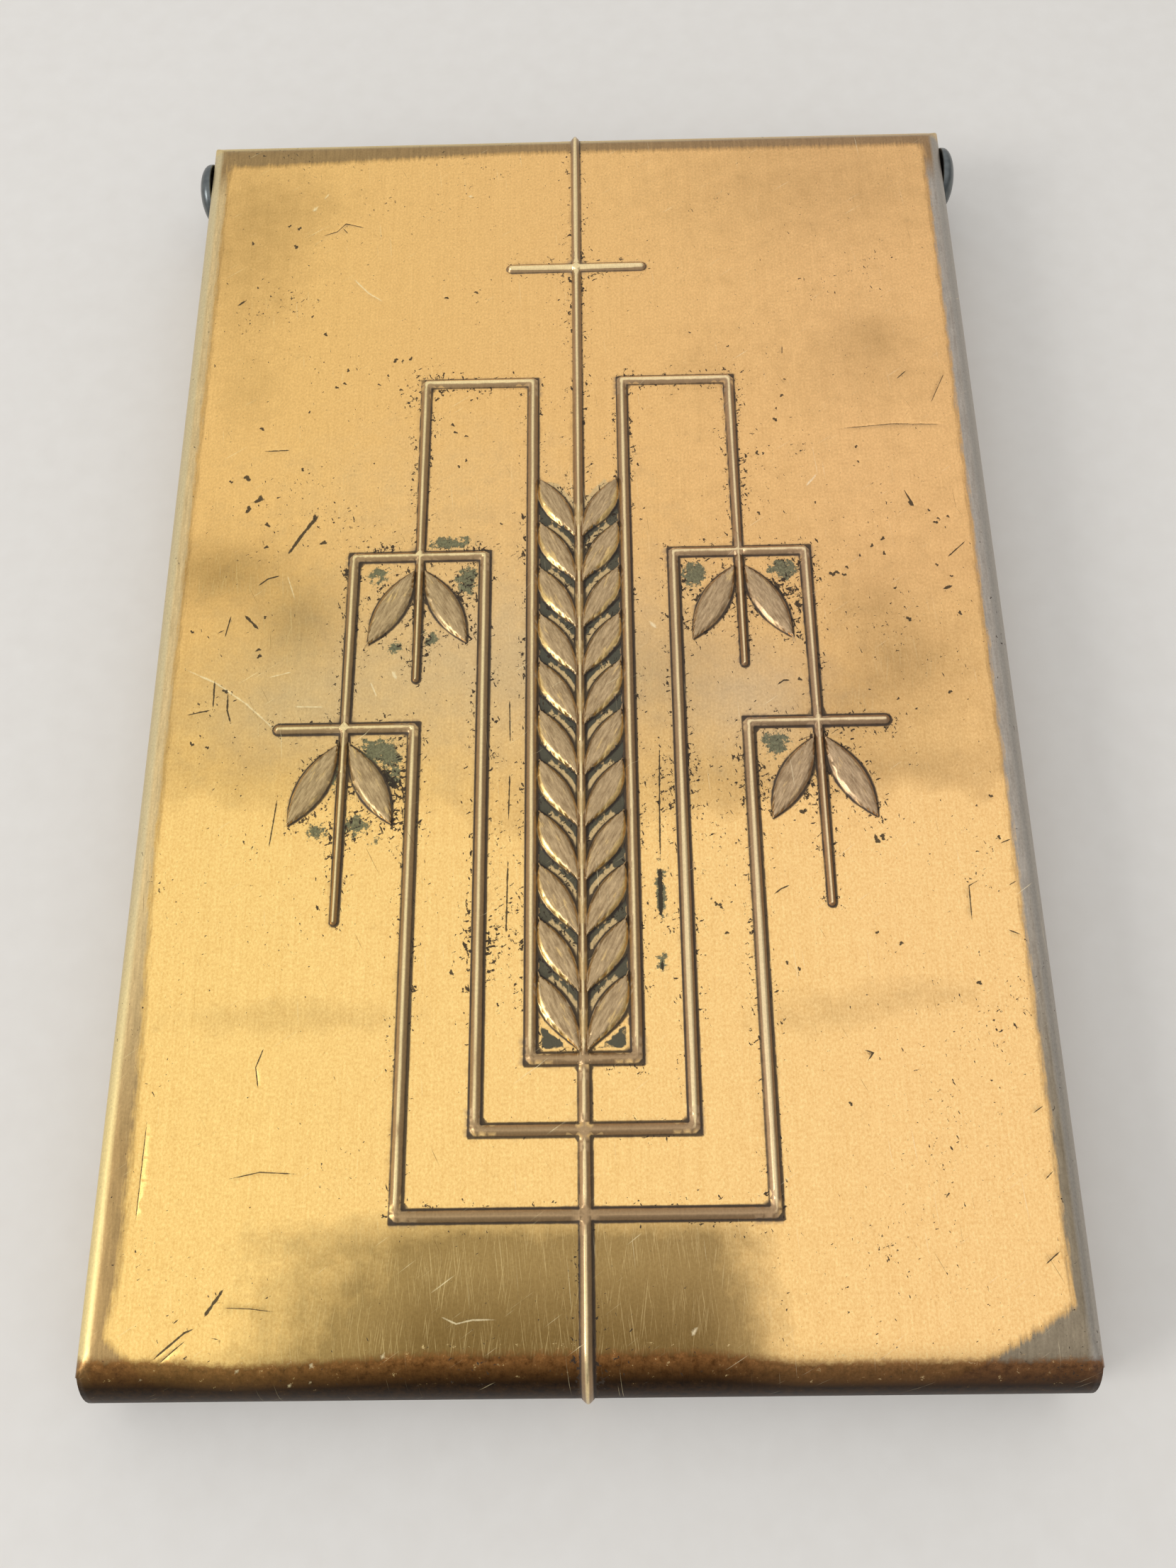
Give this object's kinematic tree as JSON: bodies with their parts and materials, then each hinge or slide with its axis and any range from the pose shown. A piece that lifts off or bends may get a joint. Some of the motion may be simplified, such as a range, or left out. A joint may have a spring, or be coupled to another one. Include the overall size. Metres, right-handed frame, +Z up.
{
  "type": "memo case",
  "caption": "Flat hinged desk memo case with a relief-struck brass cover, rolled front lip and a felt-backed tray of bound celluloid writing leaves.",
  "frame": {"origin": "on the table under the middle of the closed case", "axes": "+X across the case, +Y from the front lip to the hinge, +Z up"},
  "size_m": [0.094, 0.143, 0.0115],
  "materials": {
    "struck_brass": "satin lacquered, worn and patinated along its edges and relief",
    "folded_brass": "satin",
    "rivet_steel": "blued",
    "baize_felt": "matted wool",
    "ivory_celluloid": "polished with faint grain lines"
  },
  "bodies": {
    "base": {"base_tray": "folded_brass", "base_felt": "baize_felt", "binding_bar": "folded_brass", "left_hinge_rivet": "rivet_steel", "left_hinge_washer": "folded_brass", "left_rivet_burr": "rivet_steel", "left_binding_post": "folded_brass", "left_binding_screw": "folded_brass", "right_hinge_rivet": "rivet_steel", "right_hinge_washer": "folded_brass", "right_rivet_burr": "rivet_steel", "right_binding_post": "folded_brass", "right_binding_screw": "folded_brass", "celluloid_leaf_1": "ivory_celluloid", "celluloid_leaf_2": "ivory_celluloid", "celluloid_leaf_3": "ivory_celluloid", "celluloid_leaf_4": "ivory_celluloid", "celluloid_leaf_5": "ivory_celluloid", "celluloid_leaf_6": "ivory_celluloid"},
    "cover": {"cover": "struck_brass"}
  },
  "joints": [
    {"name": "cover_hinge", "type": "hinge", "parent": "base", "child": "cover", "pos_m": [0, 0.0668, 0.0064], "axis": [-1, 0, 0], "range_deg": [0, 180]}
  ]
}
